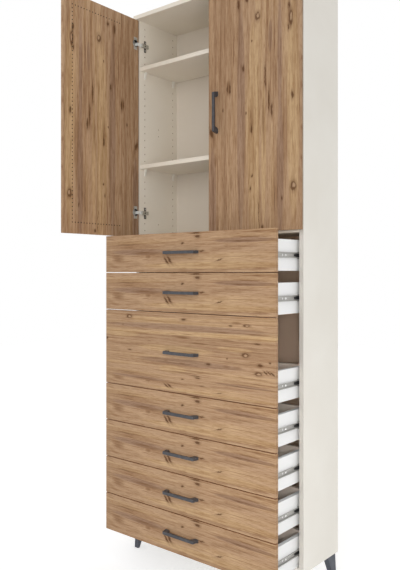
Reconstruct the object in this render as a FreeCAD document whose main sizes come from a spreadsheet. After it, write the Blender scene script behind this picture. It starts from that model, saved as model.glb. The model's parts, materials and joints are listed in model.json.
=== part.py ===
import FreeCAD, Part
import os
import re
import Sketcher

# Driving dimensions in millimetres and degrees
SIZES = {
    # Place of the carcass beside the middle of the whole open cabinet
    "frame_right": 7.23,
    "frame_back": 88.2,
    # Carcass
    "cabinet_width": 884,
    "cabinet_height": 2426,
    "panel_thick": 18,
    "bottom_thick": 16,
    "side_depth": 268,
    "divider_drop": 7.5,
    "top_gap": 1,
    "back_thick": 4,
    "back_inset": 6,
    "groove_depth": 8,
    "groove_clear": 0.2,
    # Feet
    "foot_height": 125,
    "foot_width": 22,
    "foot_top": 64,
    "foot_sole": 10,
    "foot_top_inset": 8,
    "foot_sole_inset": 4,
    # Doors and drawer fronts
    "front_thick": 16,
    "front_gap": 3,
    "front_drop": 6,
    "reveal": 1.5,
    "door_open_angle": 88.5,
    "drawer_pull": 167.4,
    # Rows of holes in the sides
    "hole_dia": 5,
    "hole_depth": 12,
    "hole_front": 37,
    "hole_back": 29,
    "hole_count": 30,
    "first_hole_rise": 22.5,
    "spare_hole_front": 128,
    # Shelves and their supports
    "shelf_setback": 5,
    "shelf_back_clear": 3,
    "shelf_side_clear": 1,
    "support_rise": 25,
    "support_width": 10,
    "support_root": 2,
    "support_ledge": 12,
    "support_tail": 5,
    "peg_dia": 4.4,
    "peg_length": 8,
    # Cup hinges
    "pin_back": 7.8,
    "pin_depth": 10.2,
    "pin_dia": 2.4,
    "knuckle_length": 11,
    "knuckle_wall": 0.9,
    "running_clear": 0.3,
    "cup_dia": 35,
    "cup_depth": 13.7,
    "cup_wall": 1.2,
    "cup_floor": 0.8,
    "cup_clear": 0.1,
    "flange_thick": 1,
    "flange_length": 56,
    "flange_width": 22,
    "arm_width": 14,
    "arm_thick": 1.6,
    "arm_stand": 3,
    "arm_box_front": 10,
    "arm_box_length": 42,
    "arm_box_rise": 6.6,
    "arm_box_wall": 1.2,
    "plate_thick": 2,
    "plate_width": 12,
    "plate_length": 52,
    "rib_front": 18,
    "rib_length": 32,
    # Drawer boxes
    "box_clear": 1,
    "box_height": 116,
    "box_back_clear": 11,
    "box_thick": 16,
    "base_rise": 10,
    "base_thick": 6,
    "base_groove": 6,
    # Ball slides
    "slide_gap": 12.7,
    "slide_rise": 58,
    "slide_overlap": 53,
    "slide_bend": 0.6,
    "rail_setback": 2,
    "rail_back": 6,
    "rail_height": 27,
    "rail_depth": 10.2,
    "rail_wall": 1.2,
    "rail_lip": 2,
    "rail_hole_dia": 5,
    "runner_setback": 5,
    "runner_back": 2,
    "runner_height": 17.5,
    "runner_depth": 8,
    "runner_lip": 1.75,
    "access_hole_dia": 8,
    "access_hole_front": 69,
    "screw_hole_dia": 5,
    "screw_hole_front": 88,
    "cage_play": 1,
    "cage_web": 1,
    # Handles
    "handle_length": 172,
    "handle_bar_length": 160,
    "handle_leg": 20,
    "handle_flare": 8,
    "handle_reach": 28,
    "handle_bar": 8,
    "handle_width": 12,
    "handle_outer_round": 5,
    "handle_inner_round": 4,
    "handle_edge_round": 1.5,
    "door_handle_edge": 43.5,
}

# Heights of a drawer and of the doors, counted in steps from hole to hole
DRAWER_STEPS = 5
DOOR_STEPS = 31
# Drawers from the top down, each with its height in drawer heights
DRAWER_UNITS = [1, 1, 2, 1, 1, 1, 1]
# Shelf and hinge places, counted in holes up from the lowest hole
SHELF_HOLES = {"lower": 8, "upper": 22}
HINGE_HOLES = {"lower": 2.5, "upper": 26.5}
SPARE_HOLES = {"low": 1, "middle": 14, "high": 15}

doc = FreeCAD.newDocument("tall_cabinet")
sheet = doc.addObject("Spreadsheet::Sheet", "sizes")
for row, (alias, value) in enumerate(SIZES.items(), start=1):
    sheet.set("A%d" % row, alias)
    sheet.set("B%d" % row, str(value))
    sheet.setAlias("B%d" % row, alias)
doc.addObject("App::FeaturePython", "gauge")
doc.recompute()

nodes = []


def prefixed(text):
    return re.sub(r"[a-z_]+", lambda word: "sizes." * (word[0] in SIZES) + word[0], text)


def bind(piece, prop, text):
    piece.setExpression(prop, prefixed(text))


def value(text):
    return doc.getObject("gauge").evalExpression(prefixed(text))


def place(piece, x, y, z):
    bind(piece, "Placement.Base.x", x)
    bind(piece, "Placement.Base.y", y)
    bind(piece, "Placement.Base.z", z)


def box(name, x, y, z, length, width, height):
    piece = doc.addObject("Part::Box", name)
    bind(piece, "Length", length)
    bind(piece, "Width", width)
    bind(piece, "Height", height)
    place(piece, x, y, z)
    return piece


def rod(name, axis, x, y, z, diameter, length):
    piece = doc.addObject("Part::Cylinder", name)
    bind(piece, "Radius", "(%s) / 2" % diameter)
    bind(piece, "Height", length)
    direction = FreeCAD.Rotation(FreeCAD.Vector(0, 0, 1), axis)
    piece.Placement = FreeCAD.Placement(FreeCAD.Vector(0, 0, 0), direction)
    place(piece, x, y, z)
    return piece


def cut(name, base, tool):
    piece = doc.addObject("Part::Cut", name)
    piece.Base = base
    piece.Tool = tool
    return piece


def fuse(name, pieces):
    piece = doc.addObject("Part::MultiFuse", name)
    piece.Shapes = pieces
    return piece


def another(name, piece):
    link = doc.addObject("App::Link", name)
    link.LinkedObject = piece
    return link


def group(name, pieces):
    piece = doc.addObject("Part::Compound", name)
    piece.Links = pieces
    return piece


def keep(name, pieces):
    node = group(name, pieces)
    place(node, "frame_right", "frame_back", "0")
    nodes.append(node)


def sketch_on(body, role, name, right="0", up="0", out="0"):
    sketch = body.newObject("Sketcher::SketchObject", name)
    plane = [item for item in body.Origin.OriginFeatures if item.Role == role][0]
    sketch.AttachmentSupport = [(plane, "")]
    sketch.MapMode = "FlatFace"
    bind(sketch, "AttachmentOffset.Base.x", right)
    bind(sketch, "AttachmentOffset.Base.y", up)
    bind(sketch, "AttachmentOffset.Base.z", out)
    return sketch


def measure(sketch, kind, first, second, name, text):
    index = sketch.addConstraint(Sketcher.Constraint(kind, *first, *second, value(text)))
    sketch.renameConstraint(index, name)
    bind(sketch, "Constraints." + name, text)


def outline(sketch, points):
    lines = []
    for start, end in zip(points, points[1:] + points[:1]):
        lines.append(sketch.addGeometry(Part.LineSegment(start, end), False))
    for line, following in zip(lines, lines[1:] + lines[:1]):
        sketch.addConstraint(Sketcher.Constraint("Coincident", line, 2, following, 1))
    return lines


def corner_line(sketch, corners):
    lines = outline(sketch, [FreeCAD.Vector(value(x), value(y), 0) for x, y in corners])
    for number, (line, (x, y)) in enumerate(zip(lines, corners)):
        if x == "0":
            sketch.addConstraint(Sketcher.Constraint("PointOnObject", line, 1, -2))
        else:
            measure(sketch, "DistanceX", (-1, 1), (line, 1), "right_%d" % number, x)
        measure(sketch, "DistanceY", (-1, 1), (line, 1), "up_%d" % number, y)


def rectangle(sketch, width, height):
    far = FreeCAD.Vector(value(width), value(height), 0)
    corners = [FreeCAD.Vector(x * far.x, y * far.y, 0) for x, y in ((0, 0), (1, 0), (1, 1), (0, 1))]
    low, right, high, left = outline(sketch, corners)
    sketch.addConstraint(Sketcher.Constraint("Coincident", low, 1, -1, 1))
    for line in (low, high):
        sketch.addConstraint(Sketcher.Constraint("Horizontal", line))
    for line in (right, left):
        sketch.addConstraint(Sketcher.Constraint("Vertical", line))
    measure(sketch, "DistanceX", (low, 1), (low, 2), "width", width)
    measure(sketch, "DistanceY", (right, 1), (right, 2), "height", height)


def circle(sketch, diameter, name):
    ring = Part.Circle(FreeCAD.Vector(0, 0, 0), FreeCAD.Vector(0, 0, 1), value(diameter) / 2)
    index = sketch.addGeometry(ring, False)
    size = sketch.addConstraint(Sketcher.Constraint("Diameter", index, 2 * ring.Radius))
    sketch.renameConstraint(size, name)
    bind(sketch, "Constraints." + name, diameter)
    return index


def drill(body, role, name, diameter, right, up, out, depth, reverse):
    seat = sketch_on(body, role, name + "_ring", right, up, out)
    ring = circle(seat, diameter, "diameter")
    seat.addConstraint(Sketcher.Constraint("Coincident", ring, 3, -1, 1))
    return seat, pocket(body, seat, name, depth, reverse)


def pad(body, sketch, name, length):
    feature = body.newObject("PartDesign::Pad", name)
    feature.Profile = sketch
    bind(feature, "Length", length)
    doc.recompute()
    return feature


def pocket(body, sketch, name, depth, reverse):
    before = body.Shape.Volume
    feature = body.newObject("PartDesign::Pocket", name)
    feature.Profile = sketch
    feature.Reversed = reverse
    bind(feature, "Length", depth)
    doc.recompute()
    if not body.Shape.Volume < before - 1:
        raise RuntimeError(name + " cuts nothing")
    return feature


def repeat(body, feature, sketch, name, length, count):
    pattern = body.newObject("PartDesign::LinearPattern", name)
    pattern.Originals = [feature]
    pattern.Direction = (sketch, ["V_Axis"])
    bind(pattern, "Length", length)
    bind(pattern, "Occurrences", count)
    body.Tip = pattern
    doc.recompute()


# Heights and depths that several pieces share
sideX = "(cabinet_width / 2)"
insideX = "(cabinet_width / 2 - panel_thick)"
frontFace = "(front_thick + front_gap)"
topUnder = "(cabinet_height - panel_thick)"
firstLine = "(foot_height + bottom_thick - front_drop)"
# The fronts fill the height from the first line to the top in equal steps, from hole to hole
allSteps = DRAWER_STEPS * sum(DRAWER_UNITS) + DOOR_STEPS
holeStep = "((%s - top_gap - %s) / %d)" % (topUnder, firstLine, allSteps)
drawerHeight = "(%d * %s)" % (DRAWER_STEPS, holeStep)
doorZone = "(%d * %s)" % (DOOR_STEPS, holeStep)
doorLine = "(%s + %d * %s)" % (firstLine, sum(DRAWER_UNITS), drawerHeight)
sideHeight = "(%s - foot_height)" % topUnder
dividerUnder = "(%s - divider_drop)" % doorLine
firstHole = "(%s + panel_thick + first_hole_rise)" % dividerUnder
backFront = "(side_depth - back_inset - back_thick)"
rearRow = "(%s - hole_back)" % backFront
shelfDepth = "(%s - shelf_setback - shelf_back_clear)" % backFront
boxLength = "(%s + front_gap - box_back_clear)" % backFront
runnerLength = "(%s - runner_setback - runner_back)" % boxLength
railLength = "(%s - rail_setback - rail_back)" % backFront
slideTravel = "(%s - slide_overlap)" % runnerLength


def hole_height(count):
    return "(%s + %s * %s)" % (firstHole, count, holeStep)


# Side panels with their rows of holes and the groove for the back
def side_panel(name, left):
    body = doc.addObject("PartDesign::Body", name + "_body")
    inner = "panel_thick" if left else "0"
    bind(body, "Placement.Base.x", "-" + sideX if left else insideX)
    profile = sketch_on(body, "YZ_Plane", name + "_profile", "0", "foot_height")
    rectangle(profile, "side_depth", sideHeight)
    pad(body, profile, name + "_board", "panel_thick")

    grooveFront = backFront + " - groove_clear"
    groove = sketch_on(body, "YZ_Plane", name + "_groove_profile", grooveFront, "foot_height", inner)
    rectangle(groove, "back_thick + 2 * groove_clear", sideHeight)
    pocket(body, groove, name + "_groove", "groove_depth", not left)

    for place_name, count in SPARE_HOLES.items():
        drill(body, "YZ_Plane", "%s_spare_%s" % (name, place_name), "hole_dia",
              "spare_hole_front", hole_height(count), inner, "hole_depth", not left)

    pair = sketch_on(body, "YZ_Plane", name + "_hole_pair", "hole_front", firstHole, inner)
    near = circle(pair, "hole_dia", "near_diameter")
    far = circle(pair, "hole_dia", "far_diameter")
    pair.addConstraint(Sketcher.Constraint("Coincident", near, 3, -1, 1))
    pair.addConstraint(Sketcher.Constraint("PointOnObject", far, 3, -1))
    measure(pair, "DistanceX", (-1, 1), (far, 3), "rows_apart", rearRow + " - hole_front")
    drilled = pocket(body, pair, name + "_holes", "hole_depth", not left)
    repeat(body, drilled, pair, name + "_rows", "(hole_count - 1) * " + holeStep, "hole_count")
    keep(name, [body])


side_panel("left_side_panel", True)
side_panel("right_side_panel", False)

# Boards that join the sides
innerWidth = "2 * " + insideX
backHalf = "(%s + groove_depth - groove_clear)" % insideX
topDepth = frontFace + " + side_depth"
keep("top_panel", [box("top_board", "-" + sideX, "-" + frontFace, topUnder,
                       "cabinet_width", topDepth, "panel_thick")])
keep("bottom_panel", [box("bottom_board", "-" + insideX, "0", "foot_height",
                          innerWidth, backFront, "bottom_thick")])
keep("divider_panel", [box("divider_board", "-" + insideX, "0", dividerUnder,
                           innerWidth, backFront, "panel_thick")])
keep("back_panel", [box("back_board", "-" + backHalf, backFront, "foot_height",
                        "2 * " + backHalf, "back_thick", sideHeight)])

# Shelves on four supports each
shelfHalf = "(%s - shelf_side_clear)" % insideX
shelves = []
for level, count in SHELF_HOLES.items():
    shelfUnder = hole_height(count) + " + support_rise"
    shelves.append(box(level + "_shelf", "-" + shelfHalf, "shelf_setback", shelfUnder,
                       "2 * " + shelfHalf, shelfDepth, "panel_thick"))
keep("shelves", shelves)


# A block between two level rectangles, each given by its sides in X and Y
def taper(name, base, rise, lower, upper):
    piece = doc.addObject("Part::Wedge", name)
    piece.Placement = FreeCAD.Placement(FreeCAD.Vector(0, 0, 0),
                                        FreeCAD.Rotation(FreeCAD.Vector(1, 0, 0), 90))
    for level, (lowX, highX, lowY, highY) in (("", lower), ("2", upper)):
        bind(piece, "X%smin" % level, lowX)
        bind(piece, "X%smax" % level, highX)
        bind(piece, "Z%smin" % level, "-(%s)" % highY)
        bind(piece, "Z%smax" % level, "-(%s)" % lowY)
    bind(piece, "Ymin", base)
    bind(piece, "Ymax", "%s + %s" % (base, rise))
    return piece


def support(name, left, setback, height):
    nearY = setback + " - support_width / 2"
    levels = []
    for reach in ("support_root", "support_ledge"):
        lowX = "-" + insideX if left else "%s - %s" % (insideX, reach)
        levels.append((lowX, "%s + %s" % (lowX, reach), nearY, nearY + " + support_width"))
    bracket = taper(name + "_bracket", height + " - support_tail", "support_rise + support_tail", *levels)
    pegX = "-%s - peg_length" % insideX if left else insideX
    peg = rod(name + "_peg", FreeCAD.Vector(1, 0, 0), pegX, setback, height, "peg_dia", "peg_length")
    return fuse(name, [bracket, peg])


supports = []
for level, count in SHELF_HOLES.items():
    for left in (True, False):
        for row, setback in (("front", "hole_front"), ("rear", rearRow)):
            label = "%s_%s_%s_support" % (level, "left" if left else "right", row)
            supports.append(support(label, left, setback, hole_height(count)))
keep("shelf_supports", supports)


# Tapered feet that stand in from the corners and lean outwards
def foot(name, left, front):
    levels = []
    for depth, inset in (("foot_sole", "foot_sole_inset"), ("foot_top", "foot_top_inset")):
        outerX = "(%s - %s)" % (sideX, inset)
        lowX = "-" + outerX if left else outerX + " - foot_width"
        lowY = "%s - %s" % (inset, frontFace) if front else "side_depth - %s - %s" % (inset, depth)
        levels.append((lowX, lowX + " + foot_width", lowY, "%s + %s" % (lowY, depth)))
    return taper(name, "0", "foot_height", *levels)


feet = []
for left in (True, False):
    for front in (True, False):
        label = "%s_%s_foot" % ("front" if front else "rear", "left" if left else "right")
        feet.append(foot(label, left, front))
keep("feet", feet)

# Doors, drawn from their hinge pin as the origin
pinX = "(cabinet_width / 2 - reveal - pin_back)"
pinY = "(front_gap + pin_depth)"
doorWidth = "(cabinet_width / 2 - 2 * reveal)"
doorUnder = "(%s + reveal)" % doorLine
doorHeight = "(%s - 2 * reveal)" % doorZone
doorMiddle = "(%s + %s / 2)" % (doorLine, doorZone)
hingeSpan = "%s * %s" % (HINGE_HOLES["upper"] - HINGE_HOLES["lower"], holeStep)
lowerHinge = hole_height(HINGE_HOLES["lower"])
boreDia = "(pin_dia + 2 * running_clear)"
knuckleDia = "(%s + 2 * knuckle_wall)" % boreDia
cupBore = "(cup_dia - 2 * cup_wall)"
# The cup stands off the pin by what the knuckle needs inside the cup's round wall
cupChord = "sqrt((%s / 2) ^ 2 - (knuckle_length / 2) ^ 2)" % cupBore
cupOffset = "(%s - %s / 2 - running_clear)" % (cupChord, knuckleDia)
# The pin reaches half into the cup's wall at both ends
pinHalf = "sqrt((cup_dia / 2 - cup_wall / 2) ^ 2 - %s ^ 2)" % cupOffset


def seat_on_pin(piece, left):
    place(piece, "-" + pinX if left else pinX, "-" + pinY, "0")
    if left:
        bind(piece, "Placement.Rotation.Angle", "-door_open_angle")


def mirrored(left, near, size):
    return "(%s)" % near if left else "(-(%s) - (%s))" % (near, size)


def door(name, left):
    body = doc.addObject("PartDesign::Body", name + "_body")
    edge = mirrored(left, "-pin_back", doorWidth)
    profile = sketch_on(body, "XZ_Plane", name + "_profile", edge, doorUnder, "-pin_depth")
    rectangle(profile, doorWidth, doorHeight)
    pad(body, profile, name + "_board", "front_thick")
    centre = mirrored(left, cupOffset, "0")
    seat, bored = drill(body, "XZ_Plane", name + "_cup_bore", "cup_dia + 2 * cup_clear",
                        centre, lowerHinge, "-pin_depth", "cup_depth + cup_clear", True)
    repeat(body, bored, seat, name + "_cup_bores", hingeSpan, "2")
    seat_on_pin(body, left)
    keep(name, [body])


# Hinge cups with the pin riveted across them
def hinge_cup(name, left, height):
    floor = "pin_depth - cup_depth"
    across = FreeCAD.Vector(0, 1, 0)
    centre = mirrored(left, cupOffset, "0")
    flangeX = mirrored(left, cupOffset + " - flange_width / 2", "flange_width")
    barrel = rod(name + "_barrel", across, centre, floor, height, "cup_dia", "cup_depth")
    flange = box(name + "_flange", flangeX, "pin_depth", height + " - flange_length / 2",
                 "flange_width", "flange_thick", "flange_length")
    hollow = rod(name + "_hollow", across, centre, floor + " + cup_floor", height,
                 cupBore, "cup_depth + flange_thick")
    pin = rod(name + "_pin", FreeCAD.Vector(0, 0, 1), "0", "0", "%s - %s" % (height, pinHalf),
              "pin_dia", "2 * " + pinHalf)
    shell = cut(name + "_shell", fuse(name + "_blank", [barrel, flange]), hollow)
    return fuse(name, [shell, pin])


def hinge_cups(name, left):
    cups = [hinge_cup("%s_%s" % (name, level), left, hole_height(count))
            for level, count in HINGE_HOLES.items()]
    turned = group(name + "_pair", cups)
    seat_on_pin(turned, left)
    keep(name, [turned])


# Hinge arms from the pin round into the cabinet
armNear = "(panel_thick - reveal - pin_back + arm_stand)"
boxFront = "(front_gap + pin_depth + arm_box_front)"


def hinge_arm(name, left, height):
    def strip(label, near, back, size, length, half):
        x = mirrored(left, near, size)
        x = "-%s + %s" % (pinX, x) if left else "%s + %s" % (pinX, x)
        y = "-%s + %s" % (pinY, back)
        return box(name + label, x, y, "%s - (%s)" % (height, half), size, length, "2 * (%s)" % half)

    half = "arm_width / 2"
    boxHalf = "arm_width / 2 + arm_box_wall"
    axisX = "-" + pinX if left else pinX
    axisY = "-" + pinY
    upright = FreeCAD.Vector(0, 0, 1)
    knuckle = rod(name + "_knuckle", upright, axisX, axisY, height + " - knuckle_length / 2",
                  knuckleDia, "knuckle_length")
    bore = rod(name + "_bore", upright, axisX, axisY, "%s - %s" % (height, half), boreDia, "arm_width")
    reach = strip("_reach", "0", "-arm_thick / 2", armNear + " + arm_thick", "arm_thick", half)
    neck = strip("_neck", armNear, "-arm_thick / 2", "arm_thick", boxFront + " + arm_thick", half)
    block = strip("_block", armNear, boxFront, "arm_box_rise", "arm_box_length", boxHalf)
    hollow = strip("_hollow", armNear, boxFront + " + 2 * arm_thick", "arm_box_rise - arm_box_wall",
                   "arm_box_length", half)
    blank = fuse(name + "_blank", [knuckle, reach, neck, block])
    return cut(name, cut(name + "_shell", blank, hollow), bore)


# Mounting plates under the arms
def hinge_plate(name, left, height):
    wingX = "-" + insideX if left else insideX + " - plate_thick"
    ribRise = "(arm_stand + arm_box_rise - arm_box_wall - running_clear)"
    ribX = "-" + insideX if left else "%s - %s" % (insideX, ribRise)
    wings = box(name + "_wings", wingX, "hole_front - plate_width / 2", height + " - plate_length / 2",
                "plate_thick", "plate_width", "plate_length")
    rib = box(name + "_rib", ribX, "rib_front", height + " - arm_width / 2 + running_clear",
              ribRise, "rib_length", "arm_width - 2 * running_clear")
    return fuse(name, [wings, rib])


arms = []
plates = []
for left in (True, False):
    hand = "left" if left else "right"
    door(hand + "_door", left)
    hinge_cups(hand + "_hinge_cups", left)
    for level, count in HINGE_HOLES.items():
        label = "%s_%s_hinge" % (level, hand)
        arms.append(hinge_arm(label + "_arm", left, hole_height(count)))
        plates.append(hinge_plate(label + "_plate", left, hole_height(count)))
keep("hinge_arms", arms)
keep("hinge_plates", plates)


# Bow handles: two splayed legs and a straight bar
def edge_names(shape, wanted):
    return ["Edge%d" % number for number, edge in enumerate(shape.Edges, start=1) if wanted(edge)]


def handle(name):
    body = doc.addObject("PartDesign::Body", name)
    profile = sketch_on(body, "XY_Plane", name + "_profile", "0", "0", "-handle_width / 2")
    reach = sheet.handle_reach
    grip = reach - sheet.handle_bar
    footEnd = sheet.handle_length / 2
    barEnd = sheet.handle_bar_length / 2
    legEnd = footEnd - sheet.handle_leg
    gripEnd = legEnd - sheet.handle_flare
    half = [(barEnd, -reach), (footEnd, 0), (legEnd, 0), (gripEnd, -grip)]
    otherHalf = [(-x, y) for x, y in reversed(half)]
    ends = otherHalf[2:] + half + otherHalf[:2]
    lines = outline(profile, [FreeCAD.Vector(x, y, 0) for x, y in ends])
    for one, other in ((0, 3), (1, 2), (7, 4), (6, 5)):
        mirror = Sketcher.Constraint("Symmetric", lines[one], 1, lines[other], 1, -2)
        profile.addConstraint(mirror)
    for corner in (3, 4):
        profile.addConstraint(Sketcher.Constraint("PointOnObject", lines[corner], 1, -1))
    origin = (-1, 1)
    measure(profile, "DistanceX", origin, (lines[3], 1), "half_length", "handle_length / 2")
    measure(profile, "DistanceX", origin, (lines[2], 1), "half_bar", "handle_bar_length / 2")
    measure(profile, "DistanceY", (lines[2], 1), origin, "reach", "handle_reach")
    measure(profile, "DistanceX", origin, (lines[4], 1), "leg", "handle_length / 2 - handle_leg")
    measure(profile, "DistanceX", origin, (lines[5], 1), "flare",
            "handle_length / 2 - handle_leg - handle_flare")
    measure(profile, "DistanceY", (lines[5], 1), origin, "grip", "handle_reach - handle_bar")
    board = pad(body, profile, name + "_blank", "handle_width")

    def upright_at(depth):
        def wanted(edge):
            level = abs(edge.CenterOfMass.y + depth) < 0.01
            return level and abs(edge.Vertexes[0].Z - edge.Vertexes[-1].Z) > 1
        return wanted

    outer = body.newObject("PartDesign::Fillet", name + "_outer_round")
    outer.Base = (board, edge_names(board.Shape, upright_at(reach)))
    bind(outer, "Radius", "handle_outer_round")
    doc.recompute()
    inner = body.newObject("PartDesign::Fillet", name + "_inner_round")
    inner.Base = (outer, edge_names(outer.Shape, upright_at(grip)))
    bind(inner, "Radius", "handle_inner_round")
    doc.recompute()

    def rim(edge):
        side = sheet.handle_width / 2
        return abs(abs(edge.CenterOfMass.z) - side) < 0.01 and edge.CenterOfMass.y < -0.1

    soft = body.newObject("PartDesign::Fillet", name + "_edge_round")
    soft.Base = (inner, edge_names(inner.Shape, rim))
    bind(soft, "Radius", "handle_edge_round")
    doc.recompute()
    return body


bow = handle("bow")


def door_handle(name, left):
    upright = another(name + "_bow", bow)
    upright.Placement = FreeCAD.Placement(FreeCAD.Vector(0, 0, 0),
                                          FreeCAD.Rotation(FreeCAD.Vector(0, 1, 0), 90))
    x = mirrored(left, doorWidth + " - pin_back - door_handle_edge", "0")
    place(upright, x, "pin_depth - front_thick", doorMiddle)
    turned = group(name + "_turned", [upright])
    seat_on_pin(turned, left)
    keep(name, [turned])


door_handle("left_door_handle", True)
door_handle("right_door_handle", False)


# Bent channels of the ball slides, drawn with the web at the left and turned round for the other hand
def channel(name, half, length, bends):
    body = doc.addObject("PartDesign::Body", name)
    section = sketch_on(body, "XZ_Plane", name + "_section", "0", "0", "-" + length)
    corner_line(section, half + [(x, "-(%s)" % z) for x, z in reversed(half)])
    strip = pad(body, section, name + "_strip", length)
    for number, (x, z, radius) in enumerate(bends):
        def bend(edge):
            middle = edge.CenterOfMass
            return abs(middle.x - value(x)) < 0.01 and abs(abs(middle.z) - value(z)) < 0.01

        fillet = body.newObject("PartDesign::Fillet", "%s_bend_%d" % (name, number))
        fillet.Base = (strip, edge_names(strip.Shape, bend))
        bind(fillet, "Radius", radius)
        doc.recompute()
        strip = fillet
    return body


def inward_lips(depth, high, web, wall, lip, reach):
    inside = "-%s + %s" % (high, wall)
    tip = "%s + %s" % (inside, reach)
    behind = "%s - %s" % (depth, lip)
    return [("0", "-" + high), (depth, "-" + high), (depth, tip), (behind, tip), (behind, inside), (web, inside)]


outerBend = "slide_bend + rail_wall"
railHigh = "(rail_height / 2)"
railInside = "(%s - rail_wall)" % railHigh
rail = channel("rail", inward_lips("rail_depth", railHigh, "rail_wall", "rail_wall", "rail_wall", "rail_lip"),
               railLength,
               [("0", railHigh, outerBend), ("rail_depth", railHigh, outerBend),
                ("rail_wall", railInside, "slide_bend"), ("rail_depth - rail_wall", railInside, "slide_bend")])
for place_name, setback in (("front", "hole_front"), ("rear", rearRow)):
    drill(rail, "YZ_Plane", "rail_%s_hole" % place_name, "rail_hole_dia",
          setback + " - rail_setback", "0", "0", "rail_wall", True)

runnerHigh = "(runner_height / 2)"
runnerInside = "(%s - rail_wall)" % runnerHigh
runnerTip = "(%s + runner_lip)" % runnerHigh
lipBack = "runner_depth - rail_wall"
runner = channel("runner", [("0", "-" + runnerHigh), (lipBack, "-" + runnerHigh), (lipBack, "-" + runnerTip),
                            ("runner_depth", "-" + runnerTip), ("runner_depth", "-" + runnerInside),
                            ("rail_wall", "-" + runnerInside)],
                 runnerLength,
                 [("0", runnerHigh, outerBend), ("rail_wall", runnerInside, "slide_bend"),
                  ("runner_depth", runnerInside, outerBend)])
for place_name in ("access", "screw"):
    drill(runner, "YZ_Plane", "runner_%s_hole" % place_name, place_name + "_hole_dia",
          place_name + "_hole_front", "0", "0", "rail_wall", True)

# The ball cage fills the room between the two, clear of both on all sides
cageHigh = "(%s - running_clear)" % railInside
cageFar = "(runner_depth + running_clear + cage_web)"
cageNear = "(slide_gap - rail_depth + rail_wall + slide_bend)"
cageWall = "(%s - %s - running_clear)" % (cageHigh, runnerTip)
cageLip = "(%s - running_clear - %s)" % (lipBack, cageNear)
cage = channel("cage", inward_lips("(%s - %s)" % (cageFar, cageNear), cageHigh, "cage_web", cageWall,
                                   cageLip, "runner_lip"),
               "(slide_overlap - cage_play)", [])

boxHalf = "(%s - slide_gap)" % insideX
pulled = "drawer_pull"
rails = []


def slide_piece(name, piece, turned, x, y, z):
    copy = another(name, piece)
    if turned:
        copy.Placement = FreeCAD.Placement(FreeCAD.Vector(0, 0, 0),
                                           FreeCAD.Rotation(FreeCAD.Vector(0, 1, 0), 180))
    place(copy, x, y, z)
    return copy


def slide_rail(name, left, middle):
    return slide_piece(name, rail, not left, "-" + insideX if left else insideX, "rail_setback", middle)


def slide_runner(name, left, middle):
    y = "-front_gap + runner_setback - " + pulled
    return slide_piece(name, runner, left, "-" + boxHalf if left else boxHalf, y, middle)


def ball_cage(name, left, middle):
    x = "(%s + %s)" % (boxHalf, cageFar)
    y = "rail_setback + (%s - %s) / 2" % (slideTravel, pulled)
    return slide_piece(name, cage, not left, "-" + x if left else x, y, middle)


# Drawers: front, box, base, handle, runners and ball cages
def drawer(number, line, units):
    name = "drawer_%d" % number
    frontY = "-%s - %s" % (frontFace, pulled)
    backY = "(-front_gap - %s)" % pulled
    frontHeight = "%d * %s - 2 * reveal" % (units, drawerHeight)
    frontX = "(%s - reveal)" % sideX
    low = line + " + front_drop + box_clear"
    baseLow = low + " + base_rise"
    sideInner = "(%s - box_thick)" % boxHalf
    middle = low + " + slide_rise"
    front = box(name + "_front_board", "-" + frontX, frontY, line + " + reveal",
                "2 * " + frontX, "front_thick", frontHeight)
    keep(name + "_front", [front])

    walls = []
    for left in (True, False):
        label = "%s_%s_wall" % (name, "left" if left else "right")
        x = "-" + boxHalf if left else sideInner
        grooveX = "-%s - base_groove" % sideInner if left else sideInner
        board = box(label + "_board", x, backY, low, "box_thick", boxLength, "box_height")
        groove = box(label + "_groove", grooveX, backY, baseLow + " - groove_clear",
                     "base_groove", boxLength, "base_thick + 2 * groove_clear")
        walls.append(cut(label, board, groove))
    rearZ = baseLow + " + base_thick"
    walls.append(box(name + "_rear_wall", "-" + sideInner, "%s + %s - box_thick" % (backY, boxLength), rearZ,
                     "2 * " + sideInner, "box_thick", "box_height - base_rise - base_thick"))
    keep(name + "_box", walls)

    baseHalf = "(%s + base_groove - groove_clear)" % sideInner
    base = box(name + "_base_board", "-" + baseHalf, backY, baseLow,
               "2 * " + baseHalf, boxLength, "base_thick")
    keep(name + "_base", [base])

    grip = another(name + "_bow", bow)
    place(grip, "0", frontY, "%s + %d * %s / 2" % (line, units, drawerHeight))
    keep(name + "_handle", [grip])

    runners = []
    cages = []
    for left in (True, False):
        hand = "left" if left else "right"
        rails.append(slide_rail("%s_%s_rail" % (name, hand), left, middle))
        runners.append(slide_runner("%s_%s_runner" % (name, hand), left, middle))
        cages.append(ball_cage("%s_%s_cage" % (name, hand), left, middle))
    keep(name + "_runners", runners)
    keep(name + "_ball_cages", cages)


unitsBelow = sum(DRAWER_UNITS)
for number, units in enumerate(DRAWER_UNITS, start=1):
    unitsBelow -= units
    drawer(number, "(%s + %d * %s)" % (firstLine, unitsBelow, drawerHeight), units)
keep("slide_rails", rails)

doc.recompute()

for piece in doc.Objects:
    if "Invalid" in piece.State or "Error" in piece.State:
        raise RuntimeError("%s is %s" % (piece.Label, piece.State))
for piece in nodes:
    if piece.Shape.isNull() or not piece.Shape.isValid():
        raise RuntimeError(piece.Label + " has no valid shape")

os.makedirs("parts", exist_ok=True)
for piece in nodes:
    piece.Shape.exportStep("parts/%s.step" % piece.Label)
    print(piece.Label, len(piece.Shape.Solids), round(piece.Shape.Volume))
print(len(nodes), "nodes")
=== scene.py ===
import json
from math import pi, radians

import bmesh
import bpy
from mathutils import Matrix, Vector


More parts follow.
